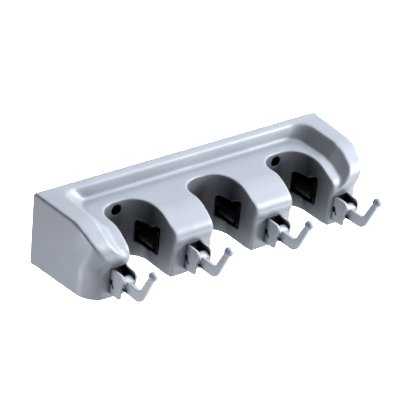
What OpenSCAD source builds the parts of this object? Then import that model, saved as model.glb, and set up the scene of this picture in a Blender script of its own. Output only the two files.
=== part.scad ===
// Wall rack for three mop or broom handles, with four folding hooks.
// X runs along the wall, the front faces -Y, Z is up and the wall is the plane Y = 0.
// The origin lies on the wall, midway between the two wall-screw holes.

/* [Body] */
// Length of the rack along the wall
rack_length = 260; // [250:1:320]
// Depth from the wall to the foot of the front face
foot_depth = 68; // [66:0.5:76]
// How much further out the front face is at the chin than at its foot
front_lean = 0.6; // [0.2:0.1:1.5]
// Outward lean of the chin, from the front face up to the nose
chin_angle = 26; // [15:1:32]
// Height of the raised rim above the foot
rim_height = 57; // [56:0.5:68]
// How far the inner area lies below the rim
rim_step = 9.5; // [6:0.5:10]
// How far each end closes in from the wall to the front
end_draft = 4; // [1:0.5:6]
// Radius of the two upright front corners
front_corner_r = 16; // [8:1:20]
// Depth of the rim's flat top before it slopes down
rim_flat_depth = 49; // [44:0.5:52]
// Depth of the inner area's flat top before it slopes down
inner_flat_depth = 51; // [48:0.5:54]
// Downward angle of the sloping top
top_slope = 30; // [22:0.5:32]
// Radius between the flat top and the slope
brow_r = 25; // [10:1:30]
// Radius of the nose below the inner area
nose_r = 9.5; // [5:0.5:10]
// Radius of the nose below the rim
rim_nose_r = 14; // [6:0.5:15]
// Radius along the top back edge
back_edge_r = 3; // [1:0.5:4]
// Thickness of the moulded walls
wall = 2.4; // [1.8:0.1:3]
// Width of the rim's flat top at each end
rim_end_width = 17.5; // [14:0.5:22]
// Width of the rim's flat top along the wall
rim_back_width = 8; // [7:0.5:10]
// Run of the rim's slanting inner face at each end
rim_end_run = 10; // [4:0.5:10.5]
// Run of the rim's slanting inner face along the wall
rim_back_run = 4.5; // [2:0.5:6]
// Corner radius of the inner area at the back
inner_corner_r = 11; // [4:1:12]
// Thickness of the back plate
plate_t = 2.5; // [2:0.1:3.5]
// Gap round the back plate
plate_gap = 0.6; // [0.4:0.1:1]

/* [Notches] */
// Width of a notch
notch_width = 38.5; // [34:0.5:40]
// How much wider an end finger is than a middle finger
end_extra = 1.25; // [0:0.25:6]
// Distance from the wall to the back of a notch
notch_back = 24.5; // [22:0.5:27]
// Corner radius at the back of a notch
notch_r = 16.5; // [8:0.5:16.5]
// Height of the wall screws above the foot
screw_height = 40; // [36:0.5:41]
// Screwdriver hole in the back of the outer notches
access_d = 8; // [7:0.5:9]
// Hole for a wall screw in the back plate
wall_screw_hole_d = 4.4; // [3.5:0.1:5]

/* [Grip rollers] */
// Distance from the wall to the back end of a roller window
window_back = 28.5; // [27:0.5:30]
// Length of a roller window away from the wall
window_length = 22.8; // [22.4:0.1:24]
// Lower edge of the window at its back end
window_low_back = 13; // [12:0.2:13.4]
// Lower edge of the window in the middle
window_low_mid = 9.6; // [9:0.2:11]
// Lower edge of the window at its front end
window_low_front = 11.2; // [10:0.2:12]
// Upper edge of the window at its back end
window_top_back = 30; // [29:0.2:31]
// Upper edge of the window in the middle
window_top_mid = 28.6; // [28:0.2:30]
// Upper edge of the window at its front end
window_top_front = 33; // [30:0.2:34]
// Distance from the window's back end to the low point of its upper edge
window_mid_run = 12.5; // [11:0.5:14]
// Length over which the upper edge rises beyond that point
window_rise_run = 7; // [5:0.5:8]
// Roller diameter
roller_d = 11; // [9:0.2:11.2]
// Thickness of the rubber sleeve on a roller
tyre_t = 2.2; // [1.4:0.1:2.6]
// How far a roller stands out of the notch wall
roller_reach = 3; // [2:0.1:3.4]
// Height of a roller above the foot at rest
roller_height = 18.5; // [18.4:0.1:19]
// Rise angle of the roller's path
slot_angle = 42; // [30:1:42]
// Length of the roller's path
roller_travel = 8; // [6:0.5:9]
// Axle diameter
axle_d = 3; // [2.4:0.1:3.4]
// Depth of each axle slot in its cage wall
slot_depth = 1.2; // [0.8:0.1:1.4]
// Thickness of a cage wall
cage_t = 2; // [1.8:0.1:2.4]
// Lowest edge of a cage above the foot
cage_low = 8; // [6:0.5:9]
// Highest edge of a cage above the foot
cage_high = 36; // [34:0.5:38]
// Thickness of a cage's rear spine
spine_t = 5.5; // [5:0.5:7]
// Gap between the cage and the window's ends
cage_gap = 0.4; // [0.3:0.1:0.6]
// Distance from the wall to the rubber strip on a notch's left wall
strip_back = 55; // [50:0.5:57]
// Width of the rubber strip
strip_width = 5; // [3:0.5:7]
// Thickness of the rubber strip
strip_t = 1.2; // [0.8:0.1:2]
// Height of the strip's lower end above the foot
strip_low = 14; // [8:1:20]
// Drop from the sloping top to the strip's upper end
strip_drop = 0.8; // [0.5:0.1:4]

/* [Hooks] */
// Distance from the last notch to the middle of the outer hook
outer_hook_in = 9.75; // [8:0.25:12]
// Overall width of a bracket
bracket_width = 13; // [12:0.5:16]
// Thickness of a bracket's ears
ear_t = 1.8; // [1.6:0.1:2.4]
// Height of a bracket along the front face
bracket_height = 20.5; // [19.5:0.5:22]
// Height of the bracket's lower edge above the foot
bracket_low = 5.5; // [4:0.5:6.5]
// Gap between the top of a bracket and the chin
chin_gap = 0.5; // [0.3:0.1:2]
// How far the top of the ears stands out from the front face
ear_depth = 14.8; // [13.5:0.1:16]
// How far the foot of the ears stands out from the front face
ear_foot_depth = 12.2; // [11:0.1:13.5]
// Radius of the ears' upper front corner
ear_r = 3.5; // [1:0.5:4]
// Thickness of the bracket's base
base_t = 1.6; // [1.4:0.1:2]
// Distance from the front face to the hook's pivot
pivot_out = 10; // [8:0.1:10.6]
// Height of the pivot above the bracket's lower edge
pivot_up = 13.3; // [12.6:0.1:14.2]
// Diameter of the hook's drum
drum_d = 11; // [9:0.2:11]
// Diameter of the hook's pin
hook_pin_d = 3; // [2:0.1:4]
// Depth of the blind pin holes in the ears
pin_seat = 1.2; // [0.8:0.1:1.2]
// Gap between the drum's ends and the ears
drum_gap = 0.2; // [0.1:0.05:0.4]
// Thickness of the hook's arm
arm_t = 3.2; // [2.4:0.1:4.5]
// Height of the hook's arm
arm_h = 9.2; // [8:0.2:11]
// Drop from the pivot to the top of the arm
arm_drop = -1.4; // [-2:0.1:0]
// Distance from the pivot to the outer foot of the raised end
arm_reach = 19.2; // [17:0.2:26]
// Height of the knob's centre above the pivot
knob_up = 19.8; // [17:0.2:24]
// Distance from the pivot to the knob's centre
knob_out = 29.4; // [27:0.2:36]
// Diameter of the knob
knob_d = 6.6; // [5:0.2:8]
// Width of the raised end below the knob
tip_w = 4.4; // [3:0.2:5]
// Radius of the outer bend
bend_r = 8; // [4:0.5:9]
// Radius of the inner bend
inner_bend_r = 3; // [1:0.5:5]

/* [Screws] */
// Shank diameter of the small screws
screw_d = 2.4; // [2:0.1:2.8]
// Head diameter of the small screws
screw_head_d = 4.6; // [4:0.1:4.8]
// Head height of the small screws
screw_head_h = 1.1; // [0.8:0.1:1.2]
// Length of the small screws under the head
screw_length = 8; // [6:0.5:9]
// Outer diameter of the bosses for the small screws
boss_d = 6.6; // [6:0.2:8]
// Distance of the plate's screws from the middle of a notch
plate_screw_x = 12; // [9:0.5:13]
// Height of the plate's screws above the foot
plate_screw_up = 8; // [7:0.5:10]

/* [Hidden] */
$fn = 64;
run_gap = 0.05;
seat_gap = 0.02;
stop_gap = 0.1;
past = 1;
far = 40;
thin = 0.01;
graze = 0.002;
half_length = rack_length / 2;
finger_width = (rack_length - 3 * notch_width - 2 * end_extra) / 4;
notch_pitch = finger_width + notch_width;
chin_height = bracket_low + bracket_height + chin_gap;
lean_angle = atan(front_lean / chin_height);
inner_height = rim_height - rim_step;
notch_xs = [-notch_pitch, 0, notch_pitch];
outer_notch_xs = [-notch_pitch, notch_pitch];
inner_hook_x = notch_pitch / 2;
outer_hook_x = notch_pitch + notch_width / 2 + outer_hook_in;
hook_xs = [-outer_hook_x, -inner_hook_x, inner_hook_x, outer_hook_x];
plate_top = rim_height - back_edge_r - wall;
// Roller and cage, measured from the notch's right wall
roller_r = roller_d / 2;
roller_in = roller_r - roller_reach;
travel_x = roller_travel * cos(slot_angle);
travel_z = roller_travel * sin(slot_angle);
slot_r = axle_d / 2 + run_gap;
cage_back = window_back + cage_gap;
cage_front = window_back + window_length - cage_gap;
roller_back = cage_back + cage_t + cage_gap;
roller_front = cage_front - cage_t - cage_gap;
spine_in = roller_in + travel_x + roller_r + cage_t;
cage_screw_in = spine_in + spine_t / 2;
cage_screw_ups = [cage_low + boss_d, cage_high - boss_d];
core_r = roller_r - tyre_t;
strip_front = strip_back + strip_width;
strip_high = inner_height - (strip_front - inner_flat_depth) * tan(top_slope) - strip_drop;
// Hook pivot and outline, in the plane across the rack
foot_y = -foot_depth;
bracket_y = foot_y - bracket_low * tan(lean_angle);
pivot_y = bracket_y - pivot_out * cos(lean_angle) - pivot_up * sin(lean_angle);
pivot_z = bracket_low + pivot_up * cos(lean_angle) - pivot_out * sin(lean_angle);
drum_l = bracket_width - 2 * ear_t - 2 * drum_gap;
bracket_screw_ups = [screw_head_d, bracket_height - screw_head_d];
screw_seat = 0.1;
catch_depth = ear_t + 2.4;
catch_low = 8.2;
catch_high = 12;
catch_in = 0.5;
catch_out = 2.6;
slit_w = 0.9;
slit_l = 3.6;
slit_angle = 50;
window_sill = 1;
ear_step = 0.5;
ear_step_up = 12;
ear_tip = 1.2;
ear_rise = 0.4;
leg_extra = 0.8;

// Heights are drawn from the foot, then lowered so that the wall screws lie at Z = 0
module at_rack() {
    translate([0, 0, -screw_height]) children();
}

// Outline in the plane across the rack, drawn out along X
module along_x(x0, x1) {
    translate([x0, 0, 0])
        rotate([90, 0, 90])
            linear_extrude(height = x1 - x0) children();
}

// Round bar along Y, from depth d0 to depth d1 off the wall
module bar_y(x, z, r, d0, d1) {
    translate([x, -d0, z])
        rotate([90, 0, 0])
            cylinder(h = d1 - d0, r = r);
}

// Local frame on the leaning front face: Y up along the face, Z out of it
module on_front(x, up) {
    translate([x, bracket_y, bracket_low])
        rotate([90 + lean_angle, 0, 0])
            translate([0, up, 0]) children();
}

function unit(v) = v / norm(v);
function arc_mid(p, a, b, r) =
    let (u = unit(a - p), v = unit(b - p), half = acos(u * v) / 2)
        p + unit(u + v) * r / sin(half);
function arc_foot(p, a, b, r) =
    let (u = unit(a - p), v = unit(b - p), half = acos(u * v) / 2)
        p + u * r / tan(half);

// Space outside a rounded corner p between neighbours a and b; its arc crosses them by a hair
module corner_waste(p, a, b, r) {
    c = arc_mid(p, a, b, r);
    difference() {
        polygon([arc_foot(p, a, b, r), c, arc_foot(p, b, a, r), p + unit(p - c) * past]);
        translate(c) circle(r = r + graze);
    }
}

// Fill of an inside corner p between neighbours a and b
module corner_fill(p, a, b, r) {
    c = arc_mid(p, a, b, r);
    difference() {
        polygon([arc_foot(p, a, b, r), c, arc_foot(p, b, a, r), p + unit(p - c) * thin]);
        translate(c) circle(r = r + graze);
    }
}

// Depths of the steep front face and of the chin above its knee, at height z, shrunk by t
function steep_depth(z, t) = foot_depth + z * tan(lean_angle) - t / cos(lean_angle);
function chin_depth(z, t) =
    foot_depth + front_lean + (z - chin_height) * tan(chin_angle) - t / cos(chin_angle);
function knee_height(t) =
    chin_height + t * (1 / cos(chin_angle) - 1 / cos(lean_angle))
        / (tan(chin_angle) - tan(lean_angle));

// Corners of a top outline: height h, flat to depth d, shrunk by t on every side
function top_points(h, d, t) =
    let (tc = tan(chin_angle), ts = tan(top_slope), top = h - t,
         start = d - t * tan(top_slope / 2), kz = knee_height(t), ky = steep_depth(kz, t),
         nose_z = (top - (ky - kz * tc - start) * ts) / (1 + tc * ts))
        [[0, 0], [0, top], [-start, top], [-(ky + (nose_z - kz) * tc), nose_z],
            [-ky, kz], [-steep_depth(0, t), 0]];

module top_outline(h, d, r, t) {
    q = top_points(h, d, t);
    // The nose's radius ends where the chin ends
    room = 0.95 * norm(q[3] - q[4]) / tan((90 - top_slope + chin_angle) / 2);
    difference() {
        polygon(q);
        corner_waste(q[2], q[1], q[3], brow_r - t);
        corner_waste(q[3], q[2], q[4], min(r - t, room));
    }
}

module rim_outline(t) {
    top_outline(rim_height, rim_flat_depth, rim_nose_r, t);
}

module inner_outline(t) {
    top_outline(inner_height, inner_flat_depth, nose_r, t);
}

// Plan of the body at height z and the given depth, shrunk by t, with rounded front corners
module plan_slice(z, depth, t) {
    r = front_corner_r - t;
    translate([0, 0, z]) {
        for (s = [-1, 1])
            translate([s * (half_length - end_draft - front_corner_r), -(depth - r), 0])
                cylinder(h = thin, r = r);
        translate([-(half_length - t), -thin, 0])
            cube([2 * (half_length - t), thin, thin]);
    }
}

module plan_solid(t, z0, z1) {
    knee = knee_height(t);
    hull() {
        plan_slice(z0, steep_depth(z0, t), t);
        plan_slice(knee + past, steep_depth(knee + past, t), t);
    }
    hull() {
        plan_slice(knee - past, chin_depth(knee - past, t), t);
        plan_slice(z1, chin_depth(z1, t), t);
    }
}

// Everything above the inner area and inside the rim's slanting inner face
module step_cut() {
    w0 = half_length - rim_end_width - rim_end_run;
    run = rim_end_run;
    slope = tan(top_slope);
    fall = rim_flat_depth - inner_flat_depth;
    difference() {
        union() {
            hull()
                for (k = [-1, 2])
                    translate([0, 0, inner_height + k * rim_step]) {
                        for (s = [-1, 1])
                            translate([s * (w0 + k * run - inner_corner_r),
                                -(rim_back_width + rim_back_run * (1 - k) + inner_corner_r), 0])
                                cylinder(h = thin, r = inner_corner_r);
                        translate([-(w0 + k * run), -(inner_flat_depth + k * fall), 0])
                            cube([2 * (w0 + k * run), thin, thin]);
                    }
            hull()
                for (k = [-1, 2])
                    for (d = [inner_flat_depth + k * fall, foot_depth + far])
                        translate([-(w0 + k * run), -d, inner_height + k * rim_step
                            - (d - inner_flat_depth - k * fall) * slope])
                            cube([2 * (w0 + k * run), thin, thin]);
        }
        along_x(-rack_length, rack_length) inner_outline(0);
    }
}

// Plan of one notch, grown by t
module notch_plan(t) {
    w = notch_width / 2 + t;
    r = notch_r + t;
    back = notch_back - t;
    union() {
        translate([-w, -(foot_depth + far)])
            square([2 * w, foot_depth + far - back - r]);
        translate([-(w - r), -(back + r) - thin])
            square([2 * (w - r), r + thin]);
        for (s = [-1, 1])
            translate([s * (w - r), -(back + r)])
                circle(r = r);
    }
}

module notch_solid(t) {
    for (x = notch_xs)
        translate([x, 0, -past])
            linear_extrude(height = rim_height + 2 * past)
                notch_plan(t);
}

// Hollow inside the shell, open at the wall
module cavity() {
    difference() {
        intersection() {
            plan_solid(wall, -past, rim_height + past);
            union() {
                along_x(-rack_length, rack_length)
                    difference() {
                        inner_outline(wall);
                        translate([-far * 3, -past]) square([far * 4, wall + past]);
                    }
                for (s = [0, 1])
                    mirror([s, 0, 0])
                        along_x(half_length - rim_end_width + wall, rack_length)
                            difference() {
                                rim_outline(wall);
                                translate([-far * 3, -past]) square([far * 4, wall + past]);
                                translate([-back_edge_r - wall, plate_top])
                                    square([far, far]);
                            }
                along_x(-rack_length, rack_length)
                    translate([-(rim_back_width - wall), wall])
                        square([rim_back_width - wall + past, plate_top - wall]);
            }
        }
        notch_solid(wall);
    }
    // The mouth of the hollow, past the wall plane
    translate([-(half_length - wall), -thin, wall])
        cube([rack_length - 2 * wall, past, plate_top - wall]);
}

module plate_bosses(r, d0, d1) {
    for (x = notch_xs)
        for (s = [-1, 1])
            bar_y(x + s * plate_screw_x, plate_screw_up, r, d0, d1);
}

module cage_holes(r, d0, d1) {
    for (x = notch_xs)
        for (up = cage_screw_ups)
            bar_y(x + notch_width / 2 + cage_screw_in, up, r, d0, d1);
}

module bracket_bores(r, low, high) {
    for (x = hook_xs)
        for (up = bracket_screw_ups)
            on_front(x, up)
                translate([0, 0, low])
                    cylinder(h = high - low, r = r);
}

// Outline of a roller window, in the plane across the rack
module window_outline() {
    b = -window_back;
    f = b - window_length;
    mid = b - window_mid_run;
    polygon([[b, window_low_back], [b, window_top_back], [mid, window_top_mid],
        [mid - window_rise_run, window_top_front], [f, window_top_front], [f, window_low_front],
        [mid, window_low_mid + window_sill], [mid, window_low_mid]]);
}

module housing() {
    color([0.74, 0.76, 0.8]) at_rack()
        difference() {
            union() {
                difference() {
                    intersection() {
                        along_x(-half_length - past, half_length + past)
                            difference() {
                                rim_outline(0);
                                corner_waste([0, rim_height], [0, 0], [-far, rim_height], back_edge_r);
                            }
                        plan_solid(0, 0, rim_height + past);
                    }
                    step_cut();
                    cavity();
                }
                plate_bosses(boss_d / 2, plate_t, notch_back + notch_r / 2);
                bracket_bores(boss_d / 2, -wall - screw_length, -wall / 2);
            }
            notch_solid(0);
            for (x = outer_notch_xs)
                bar_y(x, screw_height, access_d / 2, notch_back - wall - past, notch_back + past);
            plate_bosses(screw_d / 2 + seat_gap, plate_t - past, plate_t + screw_length);
            bracket_bores(screw_d / 2 + seat_gap, -screw_length, past);
            for (x = notch_xs)
                along_x(x + notch_width / 2 - notch_r, x + notch_width / 2 + wall + past)
                    window_outline();
        }
}

module back_plate() {
    gap = wall + plate_gap;
    color([0.3, 0.31, 0.33]) at_rack()
        difference() {
            translate([-(half_length - gap), -plate_t, gap])
                cube([rack_length - 2 * gap, plate_t, plate_top - plate_gap - gap]);
            for (x = outer_notch_xs)
                bar_y(x, screw_height, wall_screw_hole_d / 2, -past, plate_t + past);
            plate_bosses(screw_d / 2 + run_gap, -past, plate_t + past);
            plate_bosses(screw_head_d / 2 + screw_seat, -past, screw_head_h + screw_seat);
            cage_holes(screw_d / 2 + run_gap, -past, plate_t + past);
            cage_holes(screw_head_d / 2 + screw_seat, -past, screw_head_h + screw_seat);
        }
}

module back_plate_screws() {
    color([0.7, 0.7, 0.72]) at_rack() {
        plate_bosses(screw_d / 2, screw_seat, screw_seat + screw_length);
        plate_bosses(screw_head_d / 2, screw_seat, screw_seat + screw_head_h);
    }
}

module cage_screws() {
    color([0.7, 0.7, 0.72]) at_rack() {
        cage_holes(screw_d / 2, screw_seat, screw_seat + screw_length);
        cage_holes(screw_head_d / 2, screw_seat, screw_seat + screw_head_h);
    }
}

module bracket_screws() {
    color([0.7, 0.7, 0.72]) at_rack()
        for (x = hook_xs)
            for (up = bracket_screw_ups)
                on_front(x, up) {
                    translate([0, 0, base_t - screw_length])
                        cylinder(h = screw_length - screw_head_h, r = screw_d / 2);
                    translate([0, 0, base_t - screw_head_h])
                        cylinder(h = screw_head_h, r1 = screw_d / 2, r2 = screw_head_d / 2);
                }
}

// Path of a round end of radius r along the inclined slot, measured from the notch wall
module slot_outline(r) {
    translate([roller_in, roller_height]) {
        circle(r = r);
        rotate(slot_angle)
            translate([0, -r]) square([roller_travel, 2 * r]);
        translate([travel_x, travel_z]) circle(r = r);
    }
}

// Shape drawn in X and Z, as a slab from depth d0 to depth d1 off the wall
module slab_y(d0, d1) {
    translate([0, -d0, 0])
        rotate([90, 0, 0])
            linear_extrude(height = d1 - d0) children();
}

module roller_cage(x) {
    nose_low = window_low_front + cage_gap;
    nose_high = window_top_back - cage_gap;
    shoulder = wall + cage_gap;
    color([0.08, 0.08, 0.09]) at_rack()
        translate([x + notch_width / 2, 0, 0])
            difference() {
                union() {
                    for (d = [cage_back, cage_front - cage_t])
                        slab_y(d, d + cage_t) {
                            translate([0, nose_low])
                                square([shoulder + past, nose_high - nose_low]);
                            translate([shoulder, cage_low])
                                square([spine_in + thin - shoulder, cage_high - cage_low]);
                        }
                    slab_y(plate_t, cage_front)
                        translate([spine_in, cage_low])
                            square([spine_t, cage_high - cage_low]);
                }
                slab_y(cage_back + cage_t - slot_depth, cage_back + cage_t + past)
                    slot_outline(slot_r);
                slab_y(cage_front - cage_t - past, cage_front - cage_t + slot_depth)
                    slot_outline(slot_r);
                for (up = cage_screw_ups)
                    bar_y(cage_screw_in, up, screw_d / 2 + seat_gap, plate_t - past,
                        plate_t + screw_length);
            }
}

module roller_axle(x) {
    color([0.75, 0.76, 0.78]) at_rack()
        bar_y(x + notch_width / 2 + roller_in, roller_height, axle_d / 2,
            cage_back + cage_t - slot_depth + stop_gap, cage_front - cage_t + slot_depth - stop_gap);
}

module roller_core(x) {
    color([0.16, 0.16, 0.17]) at_rack()
        difference() {
            bar_y(x + notch_width / 2 + roller_in, roller_height, core_r, roller_back, roller_front);
            bar_y(x + notch_width / 2 + roller_in, roller_height, axle_d / 2 + run_gap,
                roller_back - past, roller_front + past);
        }
}

module roller_tyre(x) {
    color([0.05, 0.05, 0.05]) at_rack()
        difference() {
            bar_y(x + notch_width / 2 + roller_in, roller_height, roller_r, roller_back, roller_front);
            bar_y(x + notch_width / 2 + roller_in, roller_height, core_r + seat_gap,
                roller_back - past, roller_front + past);
        }
}

// Flat rubber strip on a notch's left wall, across from the roller
module grip_strip(x) {
    color([0.05, 0.05, 0.05]) at_rack()
        translate([x - notch_width / 2, 0, 0])
            slab_y(strip_back, strip_front)
                translate([0, strip_low])
                    square([strip_t, strip_high - strip_low]);
}

// Front edge of an ear at height up
function ear_edge(up) = ear_foot_depth + (ear_depth - ear_foot_depth) * up / bracket_height;

// Side outline of an ear: first axis out of the front face, second axis up along it
module ear_outline() {
    corner = [ear_edge(bracket_height), bracket_height + ear_rise];
    step = [ear_edge(ear_step_up), ear_step_up];
    difference() {
        polygon([[0, 0], [ear_foot_depth - ear_tip, ear_tip / 2], [ear_edge(ear_tip), ear_tip],
            [step[0] - ear_step, step[1] - ear_step], step, corner, [0, bracket_height]]);
        corner_waste(corner, step, [0, bracket_height], ear_r);
    }
}

// Dark slot near the root of each ear, with its slanting slit
module catch_outline() {
    polygon([[catch_in, catch_low], [catch_out, catch_low], [catch_out, catch_high],
        [catch_in, catch_high]]);
    translate([catch_out - slit_w / 2, catch_low + slit_w])
        rotate(-slit_angle)
            square([slit_l, slit_w]);
}

// Turns an outline in the ear's plane into a slab across the bracket
module across(x, x0, x1) {
    on_front(x + x1, 0)
        rotate([0, -90, 0])
            linear_extrude(height = x1 - x0) children();
}

module hook_bracket(x) {
    w = bracket_width / 2;
    color([0.6, 0.62, 0.67]) at_rack()
        difference() {
            union() {
                across(x, -w, -w + ear_t) ear_outline();
                across(x, w - ear_t, w) ear_outline();
                across(x, -w + ear_t - thin, w - ear_t + thin) square([base_t, bracket_height]);
            }
            translate([x - w + ear_t - pin_seat, pivot_y, pivot_z])
                rotate([0, 90, 0])
                    cylinder(h = bracket_width - 2 * ear_t + 2 * pin_seat, r = hook_pin_d / 2 + run_gap);
            across(x, -w - past, -w + catch_depth) catch_outline();
            across(x, w - catch_depth, w + past) catch_outline();
            for (up = bracket_screw_ups)
                on_front(x, up) {
                    translate([0, 0, -past])
                        cylinder(h = base_t + 2 * past, r = screw_d / 2 + run_gap);
                    translate([0, 0, base_t - screw_head_h])
                        cylinder(h = screw_head_h, r1 = screw_d / 2 + run_gap,
                            r2 = screw_head_d / 2 + run_gap);
                    translate([0, 0, base_t])
                        cylinder(h = past, r = screw_head_d / 2 + run_gap);
                }
        }
}

// Side outline of the hook's arm and raised end, measured from the pivot
module arm_outline() {
    top = -arm_drop;
    low = top - arm_h;
    knob = [-knob_out, knob_up];
    foot = [-arm_reach, low];
    lean = unit(knob - foot);
    side = [lean[1], -lean[0]];
    tip_in = knob + side * tip_w / 2;
    tip_out = knob - side * tip_w / 2;
    leg_w = tip_w + leg_extra;
    inner_foot = foot + [leg_w / side[0] + (top - low) * lean[0] / lean[1], top - low];
    // The heel meets the bracket's base and stops the hook
    heel_y = foot_y - (pivot_z + low) * tan(lean_angle) - pivot_y
        - base_t / cos(lean_angle) - stop_gap;
    heel_high = low + arm_h / 3;
    heel_top_y = heel_y - arm_h / 3 * tan(lean_angle);
    difference() {
        union() {
            polygon([[heel_y, low], foot, tip_out, tip_in, inner_foot, [0, top],
                [heel_top_y / 2, heel_high], [heel_top_y, heel_high]]);
            corner_fill(inner_foot, tip_in, [0, top], inner_bend_r);
        }
        corner_waste(foot, [heel_y, low], tip_out, bend_r);
    }
}

module hook(x) {
    color([0.62, 0.64, 0.69]) at_rack()
        translate([x, pivot_y, pivot_z])
            difference() {
                union() {
                    translate([-drum_l / 2, 0, 0])
                        rotate([0, 90, 0])
                            cylinder(h = drum_l, r = drum_d / 2);
                    along_x(-arm_t / 2, arm_t / 2) arm_outline();
                    translate([0, -knob_out, knob_up]) sphere(r = knob_d / 2);
                }
                translate([-drum_l, 0, 0])
                    rotate([0, 90, 0])
                        cylinder(h = 2 * drum_l, r = hook_pin_d / 2 + seat_gap);
            }
}

module hook_pin(x) {
    l = bracket_width - 2 * ear_t + 2 * pin_seat - 2 * stop_gap;
    color([0.75, 0.76, 0.78]) at_rack()
        translate([x - l / 2, pivot_y, pivot_z])
            rotate([0, 90, 0])
                cylinder(h = l, r = hook_pin_d / 2);
}

module roller_cage_1() { roller_cage(notch_xs[0]); }
module roller_cage_2() { roller_cage(notch_xs[1]); }
module roller_cage_3() { roller_cage(notch_xs[2]); }
module roller_axle_1() { roller_axle(notch_xs[0]); }
module roller_axle_2() { roller_axle(notch_xs[1]); }
module roller_axle_3() { roller_axle(notch_xs[2]); }
module roller_core_1() { roller_core(notch_xs[0]); }
module roller_core_2() { roller_core(notch_xs[1]); }
module roller_core_3() { roller_core(notch_xs[2]); }
module roller_tyre_1() { roller_tyre(notch_xs[0]); }
module roller_tyre_2() { roller_tyre(notch_xs[1]); }
module roller_tyre_3() { roller_tyre(notch_xs[2]); }
module grip_strip_1() { grip_strip(notch_xs[0]); }
module grip_strip_2() { grip_strip(notch_xs[1]); }
module grip_strip_3() { grip_strip(notch_xs[2]); }
module hook_bracket_1() { hook_bracket(hook_xs[0]); }
module hook_bracket_2() { hook_bracket(hook_xs[1]); }
module hook_bracket_3() { hook_bracket(hook_xs[2]); }
module hook_bracket_4() { hook_bracket(hook_xs[3]); }
module hook_1() { hook(hook_xs[0]); }
module hook_2() { hook(hook_xs[1]); }
module hook_3() { hook(hook_xs[2]); }
module hook_4() { hook(hook_xs[3]); }
module hook_pin_1() { hook_pin(hook_xs[0]); }
module hook_pin_2() { hook_pin(hook_xs[1]); }
module hook_pin_3() { hook_pin(hook_xs[2]); }
module hook_pin_4() { hook_pin(hook_xs[3]); }

housing();
back_plate();
back_plate_screws();
cage_screws();
bracket_screws();
roller_cage_1();
roller_cage_2();
roller_cage_3();
roller_axle_1();
roller_axle_2();
roller_axle_3();
roller_core_1();
roller_core_2();
roller_core_3();
roller_tyre_1();
roller_tyre_2();
roller_tyre_3();
grip_strip_1();
grip_strip_2();
grip_strip_3();
hook_bracket_1();
hook_bracket_2();
hook_bracket_3();
hook_bracket_4();
hook_1();
hook_2();
hook_3();
hook_4();
hook_pin_1();
hook_pin_2();
hook_pin_3();
hook_pin_4();
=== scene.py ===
"""Wall rack with three handle notches and four folding hooks: finishes, soft edges, floor, light and camera."""

import math

import bmesh
import bpy
from mathutils import Matrix, Vector


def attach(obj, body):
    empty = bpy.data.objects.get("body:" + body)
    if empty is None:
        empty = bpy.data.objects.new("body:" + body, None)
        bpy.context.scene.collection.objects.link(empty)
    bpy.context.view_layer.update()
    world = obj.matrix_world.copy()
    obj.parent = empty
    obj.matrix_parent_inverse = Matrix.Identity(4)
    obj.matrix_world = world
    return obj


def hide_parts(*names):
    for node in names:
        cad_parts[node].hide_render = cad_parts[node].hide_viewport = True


MM = 0.001
FOOT = -40 * MM                 # height of the rack's foot; the wall screws lie at zero
NOTCHES = 3
HOOKS = 4
HOOK_AT = (-103 * MM, -37 * MM, 37 * MM, 103 * MM)

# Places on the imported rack: out from the wall (negative) and up
FACE_AT = -68.12 * MM           # front face at the brackets' lower edge
FACE_LEAN = 0.023               # the face leans out by this share of the rise
BRACKET_LOW = 5.5 * MM          # brackets' lower edge above the foot
KNOB = (-107.82 * MM, FOOT + 38.37 * MM)    # centre of the knob on a hook's raised end
PIVOT = (-78.42 * MM, FOOT + 18.57 * MM)    # hook pin

# Cell sizes of the skins, and the passes that ease their edges
SHELL_CELL, SHELL_PASSES, SOFT_PASSES = 0.7 * MM, 4, 40
HOOK_CELL, HOOK_PASSES = 0.3 * MM, 8
EAR_CELL, EAR_PASSES = 0.25 * MM, 3
SHELL_TRIANGLES = 190000


# Shader sockets as values in expressions

class Field:
    """A number that varies over a surface."""

    def __init__(self, tree, socket):
        self.tree = tree
        self.socket = socket

    def sum_of(self, operation, *terms):
        node = self.tree.nodes.new("ShaderNodeMath")
        node.operation = operation
        for place, term in zip(node.inputs, terms):
            if isinstance(term, Field):
                self.tree.links.new(term.socket, place)
            else:
                place.default_value = term
        return Field(self.tree, node.outputs[0])

    def __add__(self, other):
        return self.sum_of("ADD", self, other)

    def __radd__(self, other):
        return self.sum_of("ADD", other, self)

    def __sub__(self, other):
        return self.sum_of("SUBTRACT", self, other)

    def __rsub__(self, other):
        return self.sum_of("SUBTRACT", other, self)

    def __mul__(self, other):
        return self.sum_of("MULTIPLY", self, other)

    def __rmul__(self, other):
        return self.sum_of("MULTIPLY", other, self)


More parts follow.
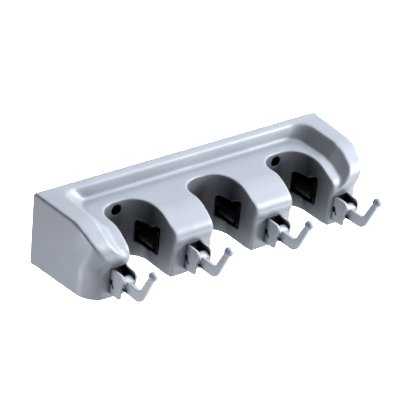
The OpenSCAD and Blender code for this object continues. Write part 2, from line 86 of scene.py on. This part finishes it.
class Finish:
    """A material for one kind of surface, built around one shader."""

    def __init__(self, name, **constants):
        self.material = bpy.data.materials.new(name)
        self.material.use_nodes = True
        self.tree = self.material.node_tree
        self.shader = self.tree.nodes["Principled BSDF"]
        for label, value in constants.items():
            self.shader.inputs[label.replace("_", " ")].default_value = value
        self.place = self.node("ShaderNodeTexCoord").outputs["Object"]

    def node(self, kind, settings=None, **values):
        node = self.tree.nodes.new(kind)
        for key, value in (settings or {}).items():
            if key == "stops":
                ramp = node.color_ramp
                while len(ramp.elements) < len(value):
                    ramp.elements.new(0.5)
                for element, (at, colour) in zip(ramp.elements, value):
                    element.position = at
                    element.color = colour
            else:
                setattr(node, key, value)
        for label, value in values.items():
            socket = node.inputs[label.replace("_", " ")]
            if isinstance(value, Field):
                value = value.socket
            if isinstance(value, bpy.types.NodeSocket):
                self.tree.links.new(value, socket)
            else:
                socket.default_value = value
        return node

    def stretched(self, x, y, z):
        return self.node("ShaderNodeMapping", None, Vector=self.place, Scale=(x, y, z)).outputs[0]

    def grain(self, scale, detail=3.0, roughness=0.5, place=None, distortion=0.0):
        """Soft noise about 0.5, scale in cells a metre."""
        node = self.node("ShaderNodeTexNoise", None, Vector=place or self.place, Scale=scale,
                         Detail=detail, Roughness=roughness, Distortion=distortion)
        return Field(self.tree, node.outputs["Fac"])

    def band(self, value, low, high):
        """0 below low, 1 above high, smooth between."""
        node = self.node("ShaderNodeMapRange", {"interpolation_type": "SMOOTHSTEP"}, Value=value)
        node.inputs["From Min"].default_value = low
        node.inputs["From Max"].default_value = high
        return Field(self.tree, node.outputs[0])

    def open_air(self, reach, own=False):
        """1 on open faces, falling in gaps and corners within reach; own looks at no other piece."""
        node = self.node("ShaderNodeAmbientOcclusion", {"samples": 16, "only_local": own}, Distance=reach)
        return Field(self.tree, node.outputs["AO"])

    def mixed(self, share, first, second):
        node = self.node("ShaderNodeMix", {"data_type": "RGBA"})
        for socket, value in ((node.inputs[0], share), (node.inputs[6], first), (node.inputs[7], second)):
            if isinstance(value, Field):
                self.tree.links.new(value.socket, socket)
            elif isinstance(value, bpy.types.NodeSocket):
                self.tree.links.new(value, socket)
            else:
                socket.default_value = value
        return node.outputs[2]

    def set(self, label, value):
        socket = self.shader.inputs[label]
        self.tree.links.new(value.socket if isinstance(value, Field) else value, socket)

    def relief(self, height, depth, strength=1.0):
        """Bump with its depth in metres."""
        bump = self.node("ShaderNodeBump", None, Height=height, Distance=depth, Strength=strength)
        self.set("Normal", bump.outputs[0])


def grey(r, g, b):
    """A paint colour given as it looks, from 0 to 255."""
    def linear(v):
        v = v / 255
        return v / 12.92 if v <= 0.04045 else ((v + 0.055) / 1.055) ** 2.4
    return (linear(r), linear(g), linear(b), 1.0)


def moulded_finish(name, base, worn, rough, metal, reach, depth, own=False):
    """Silver-lacquered plastic: faint flow marks, a fine moulded texture, dulled patches and small scuffs.

    Gaps and corners within reach get painted shade: a dark colour mixed into the base colour by the share depth.
    """
    f = Finish(name, IOR=1.5, Coat_Roughness=0.25, Metallic=metal)
    cloud = f.grain(22, 4, 0.55, distortion=0.4)
    flow = f.grain(1, 3, 0.5, place=f.stretched(14, 60, 90))
    fine = f.grain(2600, 2, 0.5)
    scuff = f.band(f.grain(1, 5, 0.65, place=f.stretched(700, 90, 240)), 0.66, 0.78)
    patch = f.band(f.grain(60, 3, 0.6), 0.45, 0.7)
    shade = f.band(cloud * 0.6 + flow * 0.4, 0.3, 0.7)
    # Painted shade: the more occluded a point is, the more of the dark colour below is mixed into the base colour
    painted_shade_share = 1 - f.band(f.open_air(reach, own), 0.46, 0.92)
    surface = f.mixed(scuff * 0.22 + shade * 0.28, base, worn)
    painted_shade_colour = grey(22, 26, 33)
    f.set("Base Color", f.mixed(painted_shade_share * depth, surface, painted_shade_colour))
    f.set("Roughness", rough + 0.07 * patch + 0.05 * cloud + 0.16 * scuff)
    f.set("Coat Weight", 0.32 - 0.12 * patch - 0.15 * scuff)
    f.relief(fine * 0.6 + cloud * 0.4 - scuff * 0.5, 0.05 * MM, 0.35)
    return f.material


def rubber_finish():
    f = Finish("grip_rubber", IOR=1.48, Specular_IOR_Level=0.25)
    dust = f.band(f.grain(420, 4, 0.6), 0.5, 0.75)
    rib = f.grain(1, 2, 0.5, place=f.stretched(900, 90, 900))
    f.set("Base Color", f.mixed(dust * 0.5, grey(5, 5, 6), grey(20, 20, 21)))
    f.set("Roughness", 0.62 + 0.2 * dust)
    f.relief(rib * 0.7 + f.grain(3000, 2) * 0.3, 0.12 * MM, 0.6)
    return f.material


def cage_finish():
    f = Finish("black_plastic", IOR=1.5, Specular_IOR_Level=0.2)
    cloud = f.grain(90, 4, 0.6)
    f.set("Base Color", f.mixed(cloud * 0.6, grey(2, 2, 3), grey(8, 8, 9)))
    f.set("Roughness", 0.5 + 0.2 * cloud)
    f.relief(f.grain(2200, 2), 0.06 * MM, 0.5)
    return f.material


def steel_finish():
    f = Finish("bright_steel", Metallic=1.0)
    turned = f.grain(1, 3, 0.5, place=f.stretched(160, 4200, 4200))
    spot = f.band(f.grain(500, 4, 0.6), 0.55, 0.75)
    f.set("Base Color", f.mixed(spot * 0.6, grey(205, 206, 210), grey(150, 150, 155)))
    f.set("Roughness", 0.24 + 0.2 * turned + 0.12 * spot)
    f.relief(turned, 0.02 * MM, 0.5)
    return f.material


# Pieces

def merged_copy(node, name):
    """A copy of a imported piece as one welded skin."""
    mesh = bpy.data.meshes.new(name)
    bm = bmesh.new()
    bm.from_mesh(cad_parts[node].data)
    bmesh.ops.remove_doubles(bm, verts=bm.verts, dist=0.002 * MM)
    bmesh.ops.recalc_face_normals(bm, faces=bm.faces)
    bm.to_mesh(mesh)
    bm.free()
    piece = bpy.data.objects.new(name, mesh)
    bpy.context.scene.collection.objects.link(piece)
    return piece


def settled(piece):
    """Applies the piece's modifiers to its mesh."""
    bpy.context.view_layer.update()
    depsgraph = bpy.context.evaluated_depsgraph_get()
    mesh = bpy.data.meshes.new_from_object(piece.evaluated_get(depsgraph))
    old = piece.data
    piece.modifiers.clear()
    piece.data = mesh
    bpy.data.meshes.remove(old)
    return piece


def evenly_skinned(piece, cell):
    skin = piece.modifiers.new("skin", "REMESH")
    skin.mode = "VOXEL"
    skin.voxel_size = cell
    skin.use_smooth_shade = True
    return settled(piece)


def eased(piece, passes, softness=None):
    """Rounds the edges; softness(point) from 0 to 1 says how strongly at each place."""
    ease = piece.modifiers.new("ease", "SMOOTH")
    ease.factor = 0.5
    ease.iterations = passes
    if softness:
        group = piece.vertex_groups.new(name="soft")
        for v in piece.data.vertices:
            share = softness(v.co)
            if share > 0.001:
                group.add([v.index], share, "REPLACE")
        ease.vertex_group = "soft"
    settled(piece)
    piece.vertex_groups.clear()
    return piece


def thinned(piece, share):
    thin = piece.modifiers.new("thin", "DECIMATE")
    thin.ratio = share
    return settled(piece)


def ramp(value, low, high):
    """0 at low, 1 at high, smooth between; high may be the smaller one."""
    t = min(max((value - low) / (high - low), 0), 1)
    return t * t * (3 - 2 * t)


def corners_drawn_in(piece):
    """The two front corners widen toward the top, so the chin fades out at the ends."""
    knee, end_at, front_at, front_slope = 26.5 * MM, 126 * MM, 68 * MM, 0.488
    draw, bulge = 0.09, 2 * MM
    for v in piece.data.vertices:
        height = v.co.z - FOOT
        above_knee = max(height - knee, 0)
        r = (16 + 15 * ramp(height, 22 * MM, 40 * MM)) * MM
        beside = abs(v.co.x) - (end_at - r)
        before = -v.co.y - (front_at + above_knee * front_slope - r)
        if beside > 0 and before > 0:
            turn = math.atan2(before, beside)
            pull = draw * above_knee - bulge * ramp(height, 28 * MM, 20 * MM)
            pull = pull * math.sin(2 * turn) ** 2 * ramp(math.hypot(beside, before), 0.5 * r, r)
            v.co.x -= math.copysign(pull * math.cos(turn), v.co.x)
            v.co.y += pull * math.sin(turn)
    return piece


def back_edge_raised(piece):
    """The rim's top rises a little toward the wall."""
    rise = 1.7 * MM
    for v in piece.data.vertices:
        height, out = v.co.z - FOOT, -v.co.y
        tilt = 0.45 + 0.55 * ramp(out, 10 * MM, -2 * MM)
        v.co.z += rise * tilt * ramp(height, 44 * MM, 56 * MM) * ramp(out, 45 * MM, 12 * MM)
    return piece


def shell_softness(p):
    """How strongly the shell's edges are eased at a point.

    The front, the rim, the step along the back and the ends are soft. The pocket at each end stays crisper, and
    the windows' edges and the wall side stay sharp.
    """
    height, out, aside = p.z - FOOT, -p.y, abs(p.x)
    in_window = ramp(height, 5 * MM, 8 * MM) * ramp(height, 38 * MM, 35 * MM) * ramp(out, 55 * MM, 53 * MM)
    end_pocket = ramp(aside, 90 * MM, 96 * MM) * ramp(aside, 121 * MM, 116 * MM)
    front = ramp(out, 60 * MM, 66 * MM) * (1 - 0.6 * end_pocket * ramp(height, 34 * MM, 38 * MM))
    rim = ramp(height, 47 * MM, 49 * MM) * (0.05 + 0.95 * ramp(out, 2 * MM, 8 * MM)) * (1 - 0.75 * end_pocket)
    back_step = ramp(height, 38 * MM, 41 * MM) * ramp(out, 3 * MM, 8 * MM) * ramp(out, 23 * MM, 18 * MM)
    end = ramp(aside, 122 * MM, 127 * MM) * (0.2 + 0.8 * ramp(height, 20 * MM, 30 * MM))
    elsewhere = 0.15 * (1 - in_window)
    return max(front, rim, back_step, max(end, elsewhere) * ramp(out, 1 * MM, 5 * MM))


def housing_skin():
    """The shell as one skin with soft moulded edges, the last easing strongest where shell_softness says."""
    piece = evenly_skinned(merged_copy("housing", "housing_shell"), SHELL_CELL)
    eased(piece, SHELL_PASSES)
    back_edge_raised(corners_drawn_in(piece))
    eased(piece, SOFT_PASSES, shell_softness)
    return thinned(piece, SHELL_TRIANGLES / (2 * len(piece.data.polygons)))


def hook_skin(n):
    """The hook with its drum turned slimmer beside and above the arm, and a fuller knob."""
    piece = evenly_skinned(merged_copy(f"hook_{n}", f"folding_hook_{n}"), HOOK_CELL)
    core_r, drum_r, knob_r, fuller = 3 * MM, 5.7 * MM, 3.6 * MM, 1.12
    knob = Vector((HOOK_AT[n - 1], *KNOB))
    for v in piece.data.vertices:
        aside, out, up = abs(v.co.x - HOOK_AT[n - 1]), v.co.y - PIVOT[0], v.co.z - PIVOT[1]
        r = math.hypot(out, up)
        if core_r < r < drum_r:
            off_arm = max(ramp(aside, 1.4 * MM, 1.9 * MM), ramp(up, 1 * MM, 3 * MM))
            slim = 1 - 0.52 * (1 - core_r / r) * off_arm
            v.co.y, v.co.z = PIVOT[0] + out * slim, PIVOT[1] + up * slim
        if (v.co - knob).length < knob_r:
            v.co = knob + (v.co - knob) * fuller
    return eased(piece, HOOK_PASSES)


def bracket_skin(n):
    """Two ears on a base that thins out to nothing at its upper edge."""
    piece = evenly_skinned(merged_copy(f"hook_bracket_{n}", f"hook_ears_{n}"), EAR_CELL)
    base, between_ears = 2 * MM, 4.65 * MM
    for v in piece.data.vertices:
        up = v.co.z - FOOT - BRACKET_LOW
        out = FACE_AT - FACE_LEAN * up - v.co.y
        if 0 < out < base and abs(v.co.x - HOOK_AT[n - 1]) < between_ears:
            v.co.y += 0.95 * out * ramp(up, 12 * MM, 19 * MM)
    return eased(piece, EAR_PASSES)


def painted_slot_shade(n):
    """Black blocks set into the slots near the roots of a bracket's two ears: painted shade standing in for the dark
    inside of the slots.
    """
    ear_at, thick = 6.06 * MM, 0.9 * MM
    upright = (1.8, 10.1, 3.2, 4.6, 0)      # out from the face, up, wide, tall, turn in degrees
    slit = (3.6, 7.8, 4.0, 1.6, 50)
    mesh = bpy.data.meshes.new(f"painted_slot_shade_{n}")
    bm = bmesh.new()
    for side in (-1, 1):
        for across, up, wide, tall, turn in (upright, slit):
            block = bmesh.ops.create_cube(bm, size=1)["verts"]
            bmesh.ops.scale(bm, verts=block, vec=(thick, tall * MM, wide * MM))
            bmesh.ops.rotate(bm, verts=block, matrix=Matrix.Rotation(math.radians(turn), 3, "X"))
            bmesh.ops.translate(bm, verts=block, vec=(side * ear_at, up * MM, across * MM))
    foot_of_bracket = Matrix.Translation((HOOK_AT[n - 1], FACE_AT, FOOT + BRACKET_LOW))
    bmesh.ops.transform(bm, matrix=foot_of_bracket @ Matrix.Rotation(math.radians(91.3), 4, "X"), verts=bm.verts)
    bm.to_mesh(mesh)
    bm.free()
    piece = bpy.data.objects.new(mesh.name, mesh)
    bpy.context.scene.collection.objects.link(piece)
    return piece


def stood_for(piece, node, body, material):
    """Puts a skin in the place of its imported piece."""
    piece.data.materials.clear()
    piece.data.materials.append(material)
    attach(piece, body)
    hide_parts(node)


def added(piece, body, material):
    """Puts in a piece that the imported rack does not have."""
    piece.data.materials.append(material)
    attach(piece, body)


def painted(node, material):
    """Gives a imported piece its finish."""
    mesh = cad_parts[node].data
    mesh.materials.clear()
    mesh.materials.append(material)


# Floor, light and camera

FLOOR_AT = -1                   # metres below the wall screws


def pale_floor():
    mesh = bpy.data.meshes.new("floor")
    bm = bmesh.new()
    bmesh.ops.create_grid(bm, x_segments=1, y_segments=1, size=9)
    bmesh.ops.translate(bm, verts=bm.verts, vec=(0, 0, FLOOR_AT))
    bm.to_mesh(mesh)
    bm.free()
    floor = bpy.data.objects.new("floor", mesh)
    bpy.context.scene.collection.objects.link(floor)
    f = Finish("floor_paper", Roughness=0.9)
    cloud = f.grain(3, 2)
    f.set("Base Color", f.mixed(cloud, (0.68, 0.68, 0.68, 1), (0.71, 0.71, 0.71, 1)))
    mesh.materials.append(f.material)


def soft_light(name, place, aim, size, power, spread=180):
    light = bpy.data.lights.new(name, "AREA")
    light.size = size
    light.energy = power
    light.spread = math.radians(spread)
    lamp = bpy.data.objects.new(name, light)
    lamp.location = place
    lamp.rotation_euler = (Vector(aim) - Vector(place)).to_track_quat("-Z", "Y").to_euler()
    lamp.visible_camera = False
    bpy.context.scene.collection.objects.link(lamp)


def studio():
    """A soft sky that is bright to the upper right and dim to the left, panels to the right, the front and the left,
    and one over the floor behind the rack."""
    world = bpy.data.worlds.new("studio")
    bpy.context.scene.world = world
    world.use_nodes = True
    tree = world.node_tree
    sky = tree.nodes["Background"]
    cool_white, brightest_at = (0.94, 0.965, 1.0, 1), Vector((0.66, 0.09, 0.7))
    sky.inputs[0].default_value = cool_white
    facing = tree.nodes.new("ShaderNodeVectorMath")
    facing.operation = "DOT_PRODUCT"
    facing.inputs[1].default_value = brightest_at.normalized()
    tree.links.new(tree.nodes.new("ShaderNodeTexCoord").outputs["Generated"], facing.inputs[0])
    glow = tree.nodes.new("ShaderNodeMapRange")
    glow.interpolation_type = "SMOOTHSTEP"
    tree.links.new(facing.outputs["Value"], glow.inputs["Value"])
    for label, value in (("From Min", 0.42), ("From Max", 0.97), ("To Min", 0.02), ("To Max", 1.85)):
        glow.inputs[label].default_value = value
    tree.links.new(glow.outputs[0], sky.inputs[1])
    soft_light("key_panel", (1.0, -0.65, 0.5), (0.02, -0.05, 0), size=0.45, power=13)
    soft_light("front_panel", (0.7, -1.0, -0.4), (0.02, -0.06, 0), size=0.4, power=2.8)
    soft_light("left_panel", (-0.44, 0.02, -0.15), (-0.13, -0.03, -0.04), size=0.14, power=0.34)
    soft_light("floor_panel", (1.2, 1.35, 1.2), (1.15, 1.3, FLOOR_AT), size=1, power=60, spread=75)
    bpy.context.scene.view_settings.view_transform = "Standard"


def look():
    """The photograph's viewpoint; lengths in pixels are those of a frame 416 wide."""
    azimuth, rise, roll = math.radians(-41.04), math.radians(29.91), math.radians(5.91)
    frame_px, lens_px, sensor = 416, 2102.55, 36
    middle, distance = Vector((0, -45 * MM, 25 * MM + FOOT)), 1535.3 * MM
    back = Vector((math.sin(azimuth) * math.cos(rise), -math.cos(azimuth) * math.cos(rise), math.sin(rise)))
    right = (-back).cross(Vector((0, 0, 1))).normalized()
    up = right.cross(-back)
    across = math.cos(roll) * right + math.sin(roll) * up
    upward = math.cos(roll) * up - math.sin(roll) * right
    eye = middle + distance * back
    camera = bpy.data.cameras.new("view")
    camera.sensor_width = sensor
    camera.lens = lens_px * sensor / frame_px
    camera.shift_x = -5.62 / frame_px
    camera.shift_y = 7.39 / frame_px
    camera.clip_start = 0.05
    camera.clip_end = 30
    holder = bpy.data.objects.new("view", camera)
    bpy.context.scene.collection.objects.link(holder)
    turn = Matrix((across, upward, back)).transposed().to_4x4()
    holder.matrix_world = Matrix.Translation(eye) @ turn
    bpy.context.scene.camera = holder


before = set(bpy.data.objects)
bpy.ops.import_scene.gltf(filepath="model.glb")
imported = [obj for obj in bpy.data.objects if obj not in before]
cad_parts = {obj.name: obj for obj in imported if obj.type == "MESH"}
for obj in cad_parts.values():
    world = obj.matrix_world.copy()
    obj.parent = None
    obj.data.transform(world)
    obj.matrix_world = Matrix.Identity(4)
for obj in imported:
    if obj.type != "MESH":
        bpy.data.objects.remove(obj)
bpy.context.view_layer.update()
look()

# reach and depth set how far into gaps and corners the painted shade goes, and how dark it gets
silver = moulded_finish("silver_shell", grey(187, 193, 204), grey(177, 183, 194),
                        rough=0.47, metal=0.35, reach=100 * MM, depth=1.0, own=True)
ear_grey = moulded_finish("ear_plastic", grey(206, 212, 223), grey(196, 202, 213),
                          rough=0.45, metal=0.25, reach=10 * MM, depth=1.0)
hook_grey = moulded_finish("hook_plastic", grey(212, 218, 229), grey(202, 208, 219),
                           rough=0.47, metal=0.25, reach=18 * MM, depth=1.0)
rubber = rubber_finish()
black = cage_finish()
steel = steel_finish()

stood_for(housing_skin(), "housing", "rack", silver)
for n in range(1, HOOKS + 1):
    stood_for(bracket_skin(n), f"hook_bracket_{n}", "rack", ear_grey)
    # The black blocks in the bracket's slots are painted shade
    added(painted_slot_shade(n), "rack", black)
    stood_for(hook_skin(n), f"hook_{n}", f"hook_{n}", hook_grey)
    painted(f"hook_pin_{n}", steel)
for n in range(1, NOTCHES + 1):
    painted(f"roller_cage_{n}", black)
    painted(f"roller_core_{n}", black)
    painted(f"roller_tyre_{n}", rubber)
    painted(f"roller_axle_{n}", steel)
    painted(f"grip_strip_{n}", rubber)
for name in ("back_plate_screws", "cage_screws", "bracket_screws"):
    painted(name, steel)
painted("back_plate", black)

pale_floor()
studio()
